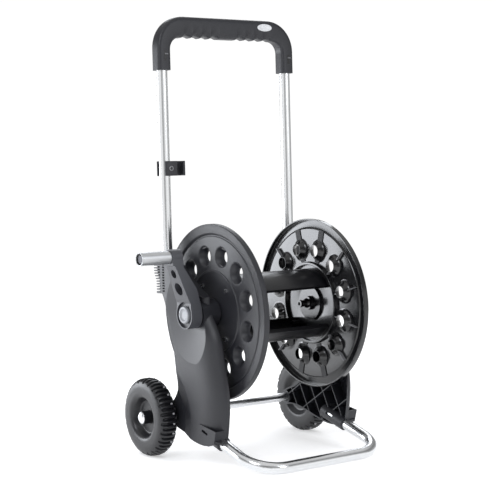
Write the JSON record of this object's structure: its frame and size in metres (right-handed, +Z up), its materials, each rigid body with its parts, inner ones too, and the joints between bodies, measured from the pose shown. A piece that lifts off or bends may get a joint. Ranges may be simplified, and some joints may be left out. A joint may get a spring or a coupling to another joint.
{
  "type": "garden hose reel cart",
  "caption": "Two-wheeled garden hose cart: tube frame with moulded side panels, push handle, foot bar and a crank-driven open hose reel.",
  "frame": {"origin": "on the ground, under the middle of the cart's box", "axes": "+Z up, -Y the front with the foot bar, -X the crank side"},
  "size_m": [0.5007, 0.3946, 0.864],
  "materials": {
    "aluminium": "bright drawn tube",
    "charcoal_plastic": "satin moulded, fine texture",
    "black_plastic": "glossy moulded",
    "light_plastic": "light grey moulded",
    "wheel_plastic": "black moulded",
    "steel": "zinc plated",
    "rubber": "black"
  },
  "bodies": {
    "frame": {"upright_left": "aluminium", "upright_right": "aluminium", "handle_grip": "charcoal_plastic", "grip_tab_left": "charcoal_plastic", "grip_tab_right": "charcoal_plastic", "grip_badge": "light_plastic", "panel_left": "charcoal_plastic", "panel_right": "charcoal_plastic", "foot_bar": "aluminium", "foot_screws": "steel", "axle_tube": "steel", "axle_cap_left": "steel", "axle_cap_right": "steel", "axle_spacer_left": "wheel_plastic", "axle_spacer_right": "wheel_plastic", "inlet_fitting": "black_plastic", "inlet_o_rings": "rubber", "inlet_screws": "steel"},
    "reel": {"flange_left": "charcoal_plastic", "flange_right": "black_plastic", "drum_shell_top": "black_plastic", "drum_shell_bottom": "black_plastic", "drum_screws_left": "steel", "drum_screws_right": "steel", "stub_shaft": "black_plastic", "water_shaft": "black_plastic", "drum_connector": "black_plastic", "crank_arm": "charcoal_plastic", "grip_pin": "steel"},
    "knob": {"crank_knob": "light_plastic"},
    "crank_grip": {"crank_handle": "aluminium", "crank_handle_core": "black_plastic"},
    "left_wheel": {"wheel_left": "wheel_plastic", "wheel_bush_left": "wheel_plastic"},
    "right_wheel": {"wheel_right": "wheel_plastic", "wheel_bush_right": "wheel_plastic"},
    "clip": {"nozzle_clip": "charcoal_plastic"}
  },
  "joints": [
    {"name": "reel_spin", "type": "hinge", "parent": "frame", "child": "reel", "pos_m": [0.034, -0.0097, 0.288], "axis": [1, 0, 0], "continuous": true},
    {"name": "crank_knob_turn", "type": "hinge", "parent": "reel", "child": "knob", "pos_m": [-0.15, -0.0097, 0.288], "axis": [1, 0, 0], "range_deg": [0, 90]},
    {"name": "crank_grip_spin", "type": "hinge", "parent": "reel", "child": "crank_grip", "pos_m": [-0.2203, -0.0097, 0.399], "axis": [1, 0, 0], "continuous": true},
    {"name": "left_wheel_spin", "type": "hinge", "parent": "frame", "child": "left_wheel", "pos_m": [-0.158, 0.1203, 0.077], "axis": [1, 0, 0], "continuous": true},
    {"name": "right_wheel_spin", "type": "hinge", "parent": "frame", "child": "right_wheel", "pos_m": [0.226, 0.1203, 0.077], "axis": [1, 0, 0], "continuous": true},
    {"name": "nozzle_clip_slide", "type": "slide", "parent": "frame", "child": "clip", "axis": [0, 0, 1], "range_m": [-0.13, 0.12]}
  ]
}
